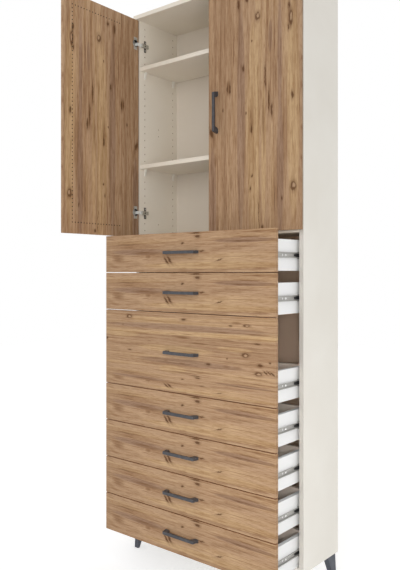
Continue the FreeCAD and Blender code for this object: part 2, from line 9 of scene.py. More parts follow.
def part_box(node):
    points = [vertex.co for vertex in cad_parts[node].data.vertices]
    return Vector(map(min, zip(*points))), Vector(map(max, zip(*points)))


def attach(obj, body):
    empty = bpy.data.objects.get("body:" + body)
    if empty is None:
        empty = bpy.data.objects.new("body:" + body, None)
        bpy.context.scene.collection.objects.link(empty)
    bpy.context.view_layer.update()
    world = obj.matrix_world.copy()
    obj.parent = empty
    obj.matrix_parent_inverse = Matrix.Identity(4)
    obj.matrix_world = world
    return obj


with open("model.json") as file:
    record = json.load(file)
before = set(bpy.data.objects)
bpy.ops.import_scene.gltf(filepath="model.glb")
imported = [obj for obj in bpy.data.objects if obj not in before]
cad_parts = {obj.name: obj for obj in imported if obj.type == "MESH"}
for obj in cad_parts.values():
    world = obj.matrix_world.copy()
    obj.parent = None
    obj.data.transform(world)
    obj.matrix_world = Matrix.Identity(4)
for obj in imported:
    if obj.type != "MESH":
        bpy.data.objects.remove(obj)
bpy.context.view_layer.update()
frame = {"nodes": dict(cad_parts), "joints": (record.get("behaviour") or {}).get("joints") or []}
cadNodes = frame["nodes"]
drawerNumbers = range(1, 8)
print("frame loaded,", len(cadNodes), "nodes")


# a colour as the screen shows it, made linear
def rgb(red, green, blue):
    parts = [value / 255 for value in (red, green, blue)]
    return tuple(p / 12.92 if p < 0.04 else ((p + 0.055) / 1.055) ** 2.4 for p in parts) + (1,)


# node helpers: settings are the node's own, sockets are values or links
def addNode(tree, kind, sockets, **settings):
    made = tree.nodes.new(kind)
    for key, setting in settings.items():
        setattr(made, key, setting)
    for key, given in sockets.items():
        if isinstance(given, bpy.types.NodeSocket):
            tree.links.new(given, made.inputs[key])
        else:
            made.inputs[key].default_value = given
    return made


def newMaterial(name):
    material = bpy.data.materials.new(name)
    material.use_nodes = True
    tree = material.node_tree
    return material, tree, tree.nodes["Principled BSDF"]


def objectCoords(tree):
    return addNode(tree, "ShaderNodeTexCoord", {}).outputs["Object"]


def stretch(tree, coords, scale):
    return addNode(tree, "ShaderNodeMapping", {"Vector": coords, "Scale": scale}).outputs["Vector"]


# most of a noise lies in this span
noiseSpan = {"low": 0.3, "middle": 0.5, "high": 0.7}


def noise(tree, coords, scale, detail=3, roughness=0.55):
    return addNode(tree, "ShaderNodeTexNoise", {
        "Vector": coords, "Scale": scale, "Detail": detail, "Roughness": roughness}).outputs["Fac"]


def spread(tree, value, fromLow, fromHigh, toLow, toHigh):
    return addNode(tree, "ShaderNodeMapRange", {
        "Value": value, "From Min": fromLow, "From Max": fromHigh,
        "To Min": toLow, "To Max": toHigh}).outputs["Result"]


def ramp(tree, value, stops):
    made = addNode(tree, "ShaderNodeValToRGB", {"Fac": value})
    made.color_ramp.elements[0].position, made.color_ramp.elements[0].color = stops[0]
    made.color_ramp.elements[1].position, made.color_ramp.elements[1].color = stops[-1]
    for position, colour in stops[1:-1]:
        made.color_ramp.elements.new(position).color = colour
    return made.outputs["Color"]


def blend(tree, factor, first, second, mode="MIX"):
    made = addNode(tree, "ShaderNodeMix", {0: factor, 6: first, 7: second},
                   data_type="RGBA", blend_type=mode)
    return made.outputs[2]


def calculate(tree, operation, first, second):
    return addNode(tree, "ShaderNodeMath", {0: first, 1: second}, operation=operation).outputs["Value"]


def bump(tree, shader, height, strength, distance):
    made = addNode(tree, "ShaderNodeBump", {"Height": height, "Strength": strength, "Distance": distance})
    tree.links.new(made.outputs["Normal"], shader.inputs["Normal"])


def giveFinish(nodeName, material):
    slots = cadNodes[nodeName].data.materials
    slots.clear()
    slots.append(material)


white = (1, 1, 1, 1)


# a plain finish: two close tones, uneven gloss and a fine skin
def skinFinish(name, look):
    material, tree, shader = newMaterial(name)
    coords = objectCoords(tree)
    cloud = noise(tree, stretch(tree, coords, look["along"]), look["cloud"])
    grit = noise(tree, stretch(tree, coords, look["along"]), look["grit"], 2)
    tone = ramp(tree, cloud, [(noiseSpan["low"], look["dark"]), (noiseSpan["high"], look["light"])])
    # the other tone is painted light or shade in one part of the piece
    if "change" in look:  # another tone in one part of the piece
        place = addNode(tree, "ShaderNodeSeparateXYZ", {"Vector": coords})
        share = 1
        for axis, start, end in look["where"]:
            share = spread(tree, place.outputs[axis], start, end, 0, share)
        tone = blend(tree, share, tone, look["change"])
    tree.links.new(tone, shader.inputs["Base Color"])
    gloss = spread(tree, grit, noiseSpan["low"], noiseSpan["high"], look["smooth"], look["rough"])
    tree.links.new(gloss, shader.inputs["Roughness"])
    shader.inputs["Metallic"].default_value = look["metal"]
    bump(tree, shader, grit, look["bump"], look["depth"])
    return material


carcassLook = {"light": rgb(235, 231, 222), "dark": rgb(230, 225, 215), "along": (1, 1, 1), "cloud": 4,
               "grit": 900, "smooth": 0.42, "rough": 0.55, "metal": 0, "bump": 0.15, "depth": 0.0002}
# painted bounce light: the boards seen from inside get a yellower copy of the carcass tone, for the warm
# light thrown between them
insideBounceLook = dict(carcassLook, light=rgb(236, 228, 214), dark=rgb(231, 222, 207))
# a tone that belongs to a face reaches a little below it and fades out there
faceSkin = {"edge": 0.0003, "back": 0.0005, "fade": 0.0005, "dividerFade": 0.01}
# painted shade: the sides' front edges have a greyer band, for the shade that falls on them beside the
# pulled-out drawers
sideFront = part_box("right_side_panel")[0].y
edgeShadeEnd = sideFront + faceSkin["edge"]
frontEdgeShade = {"change": rgb(209, 204, 195), "where": (("Y", edgeShadeEnd + faceSkin["fade"], edgeShadeEnd),)}
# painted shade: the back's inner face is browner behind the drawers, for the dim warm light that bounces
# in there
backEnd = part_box("back_panel")[0].y + faceSkin["back"]
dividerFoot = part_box("divider_panel")[0].z
backLook = {"light": rgb(222, 213, 200), "dark": rgb(218, 208, 194), "along": (1, 1, 1), "cloud": 5,
            "grit": 600, "smooth": 0.5, "rough": 0.65, "metal": 0, "bump": 0.2, "depth": 0.0003,
            "change": rgb(238, 209, 182),
            "where": (("Z", dividerFoot + faceSkin["dividerFade"], dividerFoot),
                      ("Y", backEnd + faceSkin["fade"], backEnd))}
# painted shade: a drawer's rear wall is browner than its side walls, for the dim warm light in the box's
# shaded rear
boxBoard = 0.016
boxLow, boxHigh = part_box("drawer_1_box")
insideLeft = boxLow.x + boxBoard
insideRight = boxHigh.x - boxBoard
insideRear = boxHigh.y - boxBoard
drawerLook = {"light": rgb(246, 246, 245), "dark": rgb(240, 240, 239), "along": (1, 1, 1), "cloud": 5,
              "grit": 900, "smooth": 0.4, "rough": 0.52, "metal": 0, "bump": 0.12, "depth": 0.0002,
              "change": rgb(249, 233, 218),
              "where": (("Y", insideRear - faceSkin["fade"], insideRear),
                        ("X", insideLeft - faceSkin["fade"], insideLeft),
                        ("X", insideRight + faceSkin["fade"], insideRight))}
handleLook = {"light": rgb(76, 76, 80), "dark": rgb(60, 60, 64), "along": (1, 1, 1), "cloud": 60,
              "grit": 2200, "smooth": 0.4, "rough": 0.55, "metal": 0.1, "bump": 0.25, "depth": 0.0002}
footLook = {"light": rgb(72, 76, 86), "dark": rgb(55, 58, 67), "along": (1, 1, 1), "cloud": 30,
            "grit": 1500, "smooth": 0.4, "rough": 0.56, "metal": 0, "bump": 0.3, "depth": 0.0002}
cupLook = {"light": rgb(196, 193, 184), "dark": rgb(170, 167, 159), "along": (1, 1, 1), "cloud": 80,
           "grit": 1800, "smooth": 0.28, "rough": 0.42, "metal": 0.45, "bump": 0.1, "depth": 0.0001}
# painted shade: the hinge arms are darker from a little behind the sides' front edges, where they reach
# into the cabinet's shade
armShade = {"start": 0.0058, "end": 0.0138}
armLook = {"light": rgb(248, 248, 246), "dark": rgb(226, 226, 223), "along": (1, 1, 1), "cloud": 80,
           "grit": 1800, "smooth": 0.24, "rough": 0.4, "metal": 0.3, "bump": 0.1, "depth": 0.0001,
           "change": rgb(176, 170, 156),
           "where": (("Y", sideFront + armShade["start"], sideFront + armShade["end"]),)}
# painted shade: the hinge plates are darker than the arms, for the shade they sit in inside the cabinet
plateLook = {"light": rgb(126, 118, 108), "dark": rgb(98, 91, 83), "along": (1, 1, 1), "cloud": 80,
             "grit": 1800, "smooth": 0.26, "rough": 0.42, "metal": 0.8, "bump": 0.1, "depth": 0.0001}
supportLook = {"light": rgb(240, 236, 227), "dark": rgb(231, 226, 216), "along": (1, 1, 1), "cloud": 90,
               "grit": 1600, "smooth": 0.3, "rough": 0.45, "metal": 0, "bump": 0.1, "depth": 0.0001}
screwLook = {"light": rgb(214, 214, 212), "dark": rgb(180, 180, 178), "along": (1, 1, 1), "cloud": 200,
             "grit": 2600, "smooth": 0.25, "rough": 0.4, "metal": 0.9, "bump": 0.1, "depth": 0.0001}
brightLook = {"light": rgb(250, 250, 248), "dark": rgb(238, 238, 236), "along": (1, 1, 1), "cloud": 200,
              "grit": 2600, "smooth": 0.25, "rough": 0.4, "metal": 0.3, "bump": 0.1, "depth": 0.0001}
slideLook = {"light": rgb(190, 188, 184), "dark": rgb(164, 162, 158), "along": (6, 0.4, 6), "cloud": 25,
             "grit": 600, "smooth": 0.3, "rough": 0.46, "metal": 0.5, "bump": 0.15, "depth": 0.0002}
cageLook = {"light": rgb(150, 148, 142), "dark": rgb(118, 116, 112), "along": (4, 0.6, 4), "cloud": 40,
            "grit": 900, "smooth": 0.35, "rough": 0.55, "metal": 0.7, "bump": 0.2, "depth": 0.0002}
leverLook = {"light": rgb(30, 30, 31), "dark": rgb(20, 20, 21), "along": (1, 1, 1), "cloud": 70,
             "grit": 1400, "smooth": 0.4, "rough": 0.6, "metal": 0, "bump": 0.3, "depth": 0.0002}
pilotLook = {"light": rgb(50, 35, 25), "dark": rgb(36, 25, 18), "along": (1, 1, 1), "cloud": 300,
             "grit": 2500, "smooth": 0.7, "rough": 0.9, "metal": 0, "bump": 0.4, "depth": 0.0002}

carcassBoard = skinFinish("carcassBoard", carcassLook)
insideBounceBoard = skinFinish("insideBounceBoard", insideBounceLook)
leftBoard = skinFinish("leftBoard", dict(insideBounceLook, **frontEdgeShade))
rightBoard = skinFinish("rightBoard", dict(carcassLook, **frontEdgeShade))
backBoard = skinFinish("backBoard", backLook)
drawerBoard = skinFinish("drawerBoard", drawerLook)
handleMetal = skinFinish("handleMetal", handleLook)
footPlastic = skinFinish("footPlastic", footLook)
leftCup = skinFinish("leftCup", cupLook)
rightCup = skinFinish("rightCup", cupLook)
armMetal = skinFinish("armMetal", armLook)
plateMetal = skinFinish("plateMetal", plateLook)
screwMetal = skinFinish("screwMetal", screwLook)
brightMetal = skinFinish("brightMetal", brightLook)
supportMetal = skinFinish("supportMetal", supportLook)
slideMetal = skinFinish("slideMetal", slideLook)
cageMetal = skinFinish("cageMetal", cageLook)
leverPlastic = skinFinish("leverPlastic", leverLook)
pilotBrown = skinFinish("pilotBrown", pilotLook)


# below its skin a board shows its raw core in the drilled holes, the core's tone partly painted shade in
# the holes; a hinge cup's inside is painted dark, the shade in its recess
rawCoreAndShade = {"colour": rgb(176, 154, 128), "skin": 0.0004}
cupInsideShade = {"colour": rgb(52, 51, 49), "skin": 0.0014}


# how far out in a box a point lies, 1 on the box's faces
def boxReach(tree, low, high, skin):
    inside = addNode(tree, "ShaderNodeMapping", {
        "Vector": objectCoords(tree), "Location": (low + high) / 2,
        "Scale": (high - low) / 2 - Vector((skin, skin, skin))}, vector_type="TEXTURE")
    away = addNode(tree, "ShaderNodeVectorMath", {0: inside.outputs["Vector"]}, operation="ABSOLUTE")
    return addNode(tree, "ShaderNodeSeparateXYZ", {"Vector": away.outputs["Vector"]}).outputs


def drilled(material, node, core):
    tree = material.node_tree
    reach = boxReach(tree, *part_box(node), core["skin"])
    furthest = reach["X"]
    for axis in "YZ":
        furthest = calculate(tree, "MAXIMUM", furthest, reach[axis])
    hidden = calculate(tree, "LESS_THAN", furthest, 1)
    socket = tree.nodes["Principled BSDF"].inputs["Base Color"]
    tree.links.new(blend(tree, hidden, socket.links[0].from_socket, core["colour"]), socket)


drilled(leftBoard, "left_side_panel", rawCoreAndShade)
drilled(rightBoard, "right_side_panel", rawCoreAndShade)
drilled(leftCup, "left_hinge_cups", cupInsideShade)
drilled(rightCup, "right_hinge_cups", cupInsideShade)
print("plain finishes made")

# oak: the grain runs along x, bands and pores lie across z
oakLook = {
    "honey": rgb(202, 171, 129), "tan": rgb(185, 153, 121), "deep": rgb(166, 134, 104),
    "mauve": rgb(154, 125, 105), "streak": rgb(122, 85, 54), "ring": rgb(94, 60, 34),
    "knot": rgb(88, 54, 27), "smooth": 0.5, "rough": 0.68, "specular": 0.2, "bump": 0.25, "depth": 0.0004,
}
# layers of grain: scale along, through and across the board, then detail and roughness of the noise
oakGrain = {
    "band": ((0.5, 2, 18), 3, 0.6), "streak": ((3.4, 10, 75), 3, 0.55), "vein": ((1.8, 5, 62), 5, 0.6),
    "fibre": ((12, 20, 200), 3, 0.6), "pore": ((34, 50, 800), 2, 0.5),
}
# what the fine layers multiply the wood by, and where in their noise that starts and ends
oakShade = {
    "vein": (rgb(213, 199, 185), 0.3, 0.54), "fibre": (rgb(217, 204, 191), 0.3, 0.54),
    "pore": (rgb(225, 214, 203), 0.3, 0.5),
}
# from this noise to this cover: dark streaks, and the fibres that break up the stains
streakCover = (0.58, 0.74, 0, 0.55)
patchCover = (0.35, 0.6, 1, 0.6)
# how far the print is shaken along, through and across the board, and on what scale
oakShake = {
    "wander": ((0, 0, 0.010), (1.5, 2, 5)), "fray": ((0.012, 0, 0.006), (60, 60, 140)),
    "nick": ((0.016, 0, 0.009), (60, 60, 120)),
}
# marks are (along, across, half length, half width, turn): mauve and honey bands, soft stains,
# dark lines, rings round a paler heart, and dark dots and slits
drawerPrint = {
    "mauve": [
        (0.440, 0.520, 0.460, 0.030, 0), (0.470, 0.247, 0.300, 0.028, 0), (0.200, 0.085, 0.170, 0.014, 0),
        (0.740, 0.120, 0.150, 0.011, 0)],
    "honey": [
        (0.600, 0.025, 0.400, 0.014, 0), (0.280, 0.575, 0.160, 0.020, 0), (0.100, 0.440, 0.110, 0.030, 0),
        (0.400, 0.345, 0.220, 0.030, 0), (0.700, 0.385, 0.090, 0.018, 0),
        (0.390, 0.185, 0.080, 0.030, 0)],
    "stains": [
        (0.255, 0.064, 0.017, 0.010, 0), (0.078, 0.055, 0.040, 0.020, 0), (0.250, 0.078, 0.090, 0.007, 0),
        (0.774, 0.130, 0.100, 0.004, 0), (0.720, 0.094, 0.100, 0.003, 0), (0.813, 0.013, 0.040, 0.006, 0),
        (0.810, 0.504, 0.060, 0.008, 0), (0.648, 0.504, 0.030, 0.006, 0), (0.438, 0.448, 0.050, 0.012, 0),
        (0.528, 0.406, 0.050, 0.008, 0), (0.672, 0.446, 0.040, 0.006, 0), (0.708, 0.584, 0.026, 0.012, 0),
        (0.663, 0.252, 0.022, 0.012, 0), (0.714, 0.252, 0.022, 0.012, 0), (0.441, 0.238, 0.020, 0.008, 0),
        (0.354, 0.248, 0.014, 0.008, 0), (0.780, 0.184, 0.100, 0.005, 0), (0.261, 0.394, 0.016, 0.006, 0),
        (0.106, 0.516, 0.007, 0.008, 0)],
    "lines": [
        (0.447, 0.439, 0.036, 0.0045, 0), (0.410, 0.452, 0.026, 0.003, 0),
        (0.465, 0.472, 0.034, 0.003, 0), (0.537, 0.406, 0.046, 0.004, 0), (0.620, 0.453, 0.070, 0.003, 0),
        (0.240, 0.052, 0.020, 0.0018, 0), (0.560, 0.185, 0.090, 0.003, 0),
        (0.735, 0.060, 0.110, 0.0014, 1), (0.070, 0.070, 0.065, 0.0014, 0)],
    "rings": [
        (0.144, 0.588, 0.015, 0.016, 0), (0.755, 0.568, 0.014, 0.009, 0),
        (0.749, 0.352, 0.016, 0.016, -20), (0.807, 0.226, 0.016, 0.013, 0)],
    "dots": [
        (0.521, 0.139, 0.012, 0.005, 0), (0.510, 0.152, 0.020, 0.003, 0),
        (0.444, 0.114, 0.008, 0.0028, 0), (0.543, 0.082, 0.014, 0.002, 0),
        (0.357, 0.046, 0.017, 0.0045, -50), (0.375, 0.049, 0.017, 0.0045, -48),
        (0.627, 0.047, 0.014, 0.002, 18), (0.449, 0.586, 0.012, 0.008, 0),
        (0.682, 0.560, 0.007, 0.006, 0), (0.006, 0.388, 0.006, 0.010, 0), (0.666, 0.315, 0.004, 0.005, 0),
        (0.575, 0.255, 0.011, 0.008, 0), (0.815, 0.288, 0.010, 0.010, 0), (0.857, 0.312, 0.005, 0.006, 0),
        (0.147, 0.306, 0.010, 0.005, 0), (0.801, 0.440, 0.014, 0.005, 0),
        (0.838, 0.240, 0.014, 0.004, -55), (0.853, 0.242, 0.014, 0.004, -55),
        (0.868, 0.236, 0.014, 0.004, -55)],
}
doorPrint = {
    "mauve": [
        (0.450, 0.274, 0.500, 0.022, 0), (0.240, 0.090, 0.300, 0.017, 0), (0.660, 0.092, 0.260, 0.011, 0),
        (0.140, 0.418, 0.240, 0.020, 0), (0.750, 0.136, 0.070, 0.010, 0)],
    "honey": [
        (0.420, 0.214, 0.460, 0.030, 0), (0.450, 0.030, 0.460, 0.030, 0),
        (0.300, 0.165, 0.300, 0.012, 0)],
    "stains": [
        (0.445, 0.223, 0.060, 0.008, 0), (0.599, 0.158, 0.060, 0.006, 0), (0.509, 0.141, 0.065, 0.007, 0),
        (0.600, 0.110, 0.075, 0.005, 0), (0.725, 0.311, 0.060, 0.006, 0), (0.300, 0.404, 0.032, 0.010, 0),
        (0.375, 0.409, 0.032, 0.009, 0), (0.205, 0.323, 0.050, 0.008, 0), (0.799, 0.045, 0.050, 0.012, 0),
        (0.584, 0.336, 0.040, 0.012, 0)],
    "lines": [
        (0.800, 0.357, 0.120, 0.0018, 0), (0.740, 0.310, 0.150, 0.0016, 0),
        (0.610, 0.135, 0.180, 0.002, 0), (0.560, 0.118, 0.140, 0.002, 0),
        (0.700, 0.155, 0.100, 0.0016, 0), (0.140, 0.185, 0.100, 0.0015, 2),
        (0.350, 0.330, 0.160, 0.0016, 0), (0.260, 0.392, 0.100, 0.0018, 0),
        (0.420, 0.062, 0.200, 0.0014, 0)],
    "rings": [
        (0.841, 0.194, 0.016, 0.011, 0), (0.164, 0.031, 0.017, 0.012, 0),
        (0.799, 0.042, 0.028, 0.008, 0)],
    "dots": [
        (0.506, 0.035, 0.014, 0.0055, 0), (0.402, 0.223, 0.016, 0.005, 0),
        (0.647, 0.263, 0.012, 0.0045, 0), (0.749, 0.222, 0.004, 0.0025, 0),
        (0.764, 0.052, 0.009, 0.0035, 0), (0.169, 0.229, 0.008, 0.003, 0),
        (0.219, 0.220, 0.005, 0.003, 0), (0.121, 0.081, 0.008, 0.003, 0), (0.016, 0.172, 0.006, 0.005, 0),
        (0.907, 0.286, 0.018, 0.006, 0), (0.917, 0.246, 0.008, 0.007, 0), (0.849, 0.049, 0.013, 0.005, 0),
        (0.584, 0.342, 0.016, 0.003, 0), (0.579, 0.329, 0.020, 0.004, 0),
        (0.599, 0.158, 0.045, 0.0025, 0), (0.500, 0.141, 0.040, 0.003, 0),
        (0.466, 0.128, 0.025, 0.0045, 0), (0.060, 0.188, 0.050, 0.0012, 2),
        (0.469, 0.249, 0.004, 0.003, 0), (0.499, 0.364, 0.006, 0.003, 0),
        (0.412, 0.424, 0.020, 0.008, 20)],
}
# each kind of mark has a colour, a shake, and steps of (distance from its middle, 1 on its rim, and cover)
markCover = {
    "mauve": ("mauve", "wander", [(0, 0.72), (0.8, 0.62), (1, 0)]),
    "honey": ("honey", "wander", [(0, 0.66), (0.8, 0.56), (1, 0)]),
    "lines": ("streak", "wander", [(0, 0.8), (0.6, 0.6), (1.2, 0)]),
    "stains": ("streak", "fray", [(0, 0.9), (0.5, 0.65), (1.1, 0)]),
    "rings": ("ring", "nick", [(0, 0.9), (0.85, 0.85), (1.15, 0.3), (1.9, 0)]),
    "hearts": ("tan", "nick", [(0, 0.85), (0.7, 0.75), (1.15, 0)]),
    "dots": ("knot", "nick", [(0, 0.95), (0.75, 0.85), (1.15, 0.3), (2.2, 0)]),
}
markReach = 2.5  # the steps end within this distance
markDepth = 9  # marks go right through a board
heart = {"size": 0.56, "along": 0.15, "across": -0.15}
for marks in (drawerPrint, doorPrint):
    marks["hearts"] = [(along + heart["along"] * halfLength, across + heart["across"] * halfWidth,
                        heart["size"] * halfLength, heart["size"] * halfWidth, turn)
                       for along, across, halfLength, halfWidth, turn in marks["rings"]]


# distance to the nearest mark, 1 on its rim
def nearestMark(tree, coords, marks):
    nearest = None
    for along, across, halfLength, halfWidth, turn in marks:
        inside = addNode(tree, "ShaderNodeMapping", {
            "Vector": coords, "Location": (along, 0, across), "Rotation": (0, -radians(turn), 0),
            "Scale": (halfLength, markDepth, halfWidth)}, vector_type="TEXTURE")
        away = addNode(tree, "ShaderNodeVectorMath", {0: inside.outputs["Vector"]},
                       operation="LENGTH").outputs["Value"]
        nearest = away if nearest is None else calculate(tree, "MINIMUM", nearest, away)
    return nearest


def shaken(tree, coords, amount, scale):
    shake = addNode(tree, "ShaderNodeTexNoise", {
        "Vector": stretch(tree, coords, scale), "Scale": 1, "Detail": 2})
    centred = addNode(tree, "ShaderNodeVectorMath", {0: shake.outputs["Color"], 1: (0.5, 0.5, 0.5)},
                      operation="SUBTRACT")
    return addNode(tree, "ShaderNodeVectorMath", {
        0: centred.outputs["Vector"], 1: amount, 2: coords}, operation="MULTIPLY_ADD").outputs["Vector"]


# painted shade: the upper and lower edges of a front are darker, for the shade in the joints between the
# fronts
jointShade = {"colour": rgb(150, 100, 62), "skin": 0.0003}


def jointShaded(material, node):
    tree = material.node_tree
    reach = boxReach(tree, *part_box(node), jointShade["skin"])
    onEdge = calculate(tree, "GREATER_THAN", reach["Z"], 1)
    socket = tree.nodes["Principled BSDF"].inputs["Base Color"]
    tree.links.new(blend(tree, onEdge, socket.links[0].from_socket, jointShade["colour"]), socket)


def oakFinish(name, turned, shift, scale, marks):
    material, tree, shader = newMaterial(name)
    seat = addNode(tree, "ShaderNodeMapping", {
        "Vector": objectCoords(tree), "Location": shift, "Rotation": turned.to_euler(), "Scale": scale})
    coords = seat.outputs["Vector"]
    moved = {kind: shaken(tree, coords, *shake) for kind, shake in oakShake.items()}
    grain = {layer: noise(tree, stretch(tree, moved["wander"], fineness), 1, detail, roughness)
             for layer, (fineness, detail, roughness) in oakGrain.items()}
    tone = ramp(tree, grain["band"], [(noiseSpan["low"], oakLook["deep"]),
                                      (noiseSpan["middle"], oakLook["tan"]),
                                      (noiseSpan["high"], oakLook["honey"])])
    patchy = spread(tree, grain["fibre"], *patchCover)
    for kind, (tint, shake, steps) in markCover.items():
        away = calculate(tree, "DIVIDE", nearestMark(tree, moved[shake], marks[kind]), markReach)
        cover = ramp(tree, away, [(at / markReach, (grey, grey, grey, 1)) for at, grey in steps])
        if kind == "stains":
            cover = calculate(tree, "MULTIPLY", cover, patchy)
        tone = blend(tree, cover, tone, oakLook[tint])
        if kind == "honey":  # the grain lies over the bands and under the other marks
            tone = blend(tree, spread(tree, grain["streak"], *streakCover), tone, oakLook["streak"])
            for layer, (shade, start, end) in oakShade.items():
                darker = ramp(tree, grain[layer], [(start, shade), (end, white)])
                tone = blend(tree, 1, tone, darker, "MULTIPLY")
    tree.links.new(tone, shader.inputs["Base Color"])
    gloss = spread(tree, grain["vein"], noiseSpan["low"], noiseSpan["high"],
                   oakLook["rough"], oakLook["smooth"])
    tree.links.new(gloss, shader.inputs["Roughness"])
    shader.inputs["Specular IOR Level"].default_value = oakLook["specular"]
    bump(tree, shader, grain["pore"], oakLook["bump"], oakLook["depth"])
    return material


# drawers share one print, measured from each front's lower left corner; on a tall front it is squeezed
tallFront = {"over": 0.2, "squeeze": 2}
flat = Matrix.Identity(3)
for number in drawerNumbers:
    front = "drawer_%d_front" % number
    low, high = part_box(front)
    squeeze = tallFront["squeeze"] if high.z - low.z > tallFront["over"] else 1
    shift = (-low.x, -low.y, -low.z * squeeze)
    board = oakFinish("drawerOak%d" % number, flat, shift, (1, 1, squeeze), drawerPrint)
    jointShaded(board, front)
    giveFinish(front, board)

# doors share another, seen through from face to face; the left one stands open and is turned back shut
hinge = next(joint for joint in frame["joints"] if joint["name"] == "left_door_hinge")
pin = Vector(hinge["pos_m"])
openAngle = radians(hinge["range_deg"][1])
topLow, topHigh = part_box("top_panel")
middleX = (topLow.x + topHigh.x) / 2
rightLow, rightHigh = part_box("right_door")
shutEdge = {"left": 2 * middleX - rightLow.x, "right": rightHigh.x}
doorTurn = {"left": openAngle, "right": 0}
upright = Matrix.Rotation(pi / 2, 3, "Y")
for side in ("left", "right"):
    shutting = Matrix.Rotation(doorTurn[side], 3, "Z")
    corner = Vector((shutEdge[side], rightLow.y, rightLow.z))
    shift = upright @ (pin - shutting @ pin - corner)
    board = oakFinish("%sDoorOak" % side, upright @ shutting, shift, (1, 1, 1), doorPrint)
    giveFinish("%s_door" % side, board)
print("oak finishes made")

finishes = [
    (carcassBoard, ["bottom_panel"]),
    (insideBounceBoard, ["top_panel", "divider_panel", "shelves"]),
    (leftBoard, ["left_side_panel"]),
    (rightBoard, ["right_side_panel"]),
    (backBoard, ["back_panel"]),
    (drawerBoard, ["drawer_%d_box" % number for number in drawerNumbers]),
    (drawerBoard, ["drawer_%d_base" % number for number in drawerNumbers]),
    (handleMetal, ["left_door_handle", "right_door_handle"]),
    (handleMetal, ["drawer_%d_handle" % number for number in drawerNumbers]),
    (footPlastic, ["feet"]),
    (leftCup, ["left_hinge_cups"]),
    (rightCup, ["right_hinge_cups"]),
    (armMetal, ["hinge_arms"]),
    (plateMetal, ["hinge_plates"]),
    (supportMetal, ["shelf_supports"]),
    (slideMetal, ["slide_rails"] + ["drawer_%d_runners" % number for number in drawerNumbers]),
    (cageMetal, ["drawer_%d_ball_cages" % number for number in drawerNumbers]),
]
for material, names in finishes:
    for name in names:
        giveFinish(name, material)
print("finishes given to the frame")


def finishPiece(name, mesh, material, body):
    bmesh.ops.recalc_face_normals(mesh, faces=mesh.faces)
    data = bpy.data.meshes.new(name)
    mesh.to_mesh(data)
    mesh.free()
    data.materials.append(material)
    piece = bpy.data.objects.new(name, data)
    bpy.context.scene.collection.objects.link(piece)
    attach(piece, body)


# a screw's head: a low bevelled disc with a star-shaped recess
# round, near and deep are shares of its rise, rim of its radius; one corner in three is a tip of the star
screwHead = {"sides": 12, "round": 0.6, "near": 1.2, "rim": 0.25, "tip": 3, "waist": 0.4, "deep": 0.5}


def addScrew(mesh, seat, radius, rise):
    disc = bmesh.ops.create_circle(mesh, cap_ends=True, segments=screwHead["sides"], radius=radius,
                                   matrix=seat)
    face = disc["verts"][0].link_faces[0]
    outward = seat.to_3x3() @ Vector((0, 0, 1))
    grown = bmesh.ops.extrude_face_region(mesh, geom=[face], use_keep_orig=True)
    top = [item for item in grown["geom"] if isinstance(item, bmesh.types.BMFace)][0]
    bmesh.ops.translate(mesh, verts=top.verts, vec=outward * rise)
    bmesh.ops.bevel(mesh, geom=list(top.edges), offset=rise * screwHead["round"], affect="EDGES",
                    segments=2, profile=0.5, material=-1)
    # the bevel makes the top anew: it is the highest face near the seat
    above = {face: face.calc_center_median() - seat.translation for face in mesh.faces}
    top = max((face for face in mesh.faces if above[face].length < rise * screwHead["near"]),
              key=lambda face: above[face].dot(outward))
    bmesh.ops.inset_region(mesh, faces=[top], thickness=radius * screwHead["rim"])
    centre = top.calc_center_median()
    for count, vert in enumerate(top.verts):
        if count % screwHead["tip"]:
            vert.co = centre.lerp(vert.co, screwHead["waist"])
    bmesh.ops.translate(mesh, verts=top.verts, vec=-outward * rise * screwHead["deep"])


# pilot marks on the doors' inner faces: a column near the free edge, a row near the top and the bottom
pilotMarks = {"pitch": 0.016, "edge": 0.046, "hingeFree": 0.12, "radius": 0.0027, "sides": 10,
              "proud": 0.0001, "thick": 0.0003}
faceBack = Matrix.Rotation(-pi / 2, 4, "X")  # turns a disc's front towards +y


# takes what is placed on a shut door to where the door stands
def reopened(side):
    if side == "right":
        return Matrix.Identity(4)
    return Matrix.Translation(pin) @ Matrix.Rotation(-openAngle, 4, "Z") @ Matrix.Translation(-pin)


def doorMarks(side):
    mesh = bmesh.new()
    width = rightHigh.x - rightLow.x
    height = rightHigh.z - rightLow.z
    columnCount = round((height - 2 * pilotMarks["edge"]) / pilotMarks["pitch"]) + 1
    rowCount = int((width - pilotMarks["edge"] - pilotMarks["hingeFree"]) / pilotMarks["pitch"])
    places = [(0, count) for count in range(columnCount)]
    places += [(count, row) for row in (0, columnCount - 1) for count in range(1, rowCount + 1)]
    freeEdge = rightLow.x if side == "right" else shutEdge["left"]
    toHinge = 1 if side == "right" else -1
    reopen = reopened(side)
    for across, up in places:
        place = Vector((freeEdge + toHinge * (pilotMarks["edge"] + across * pilotMarks["pitch"]),
                        rightHigh.y + pilotMarks["proud"],
                        rightLow.z + pilotMarks["edge"] + up * pilotMarks["pitch"]))
        bmesh.ops.create_circle(mesh, cap_ends=True, segments=pilotMarks["sides"],
                                radius=pilotMarks["radius"],
                                matrix=reopen @ Matrix.Translation(place) @ faceBack)
    bmesh.ops.solidify(mesh, geom=mesh.faces[:], thickness=pilotMarks["thick"])
    finishPiece("%s_door_pilot_marks" % side, mesh, pilotBrown, "%s_door" % side)


for side in ("left", "right"):
    doorMarks(side)
print("pilot marks made")

# hinge screws: two on each plate's wings, one on each arm, two on each cup's flange
hingeScrew = {"radius": 0.0032, "rise": 0.0012, "cupRise": 0.0006, "wing": 0.018, "flange": 0.022,
              "plateThick": 0.002, "plateHalf": 0.026, "plateBack": 0.037,
              "armSeat": 0.0096, "armBack": 0.03}


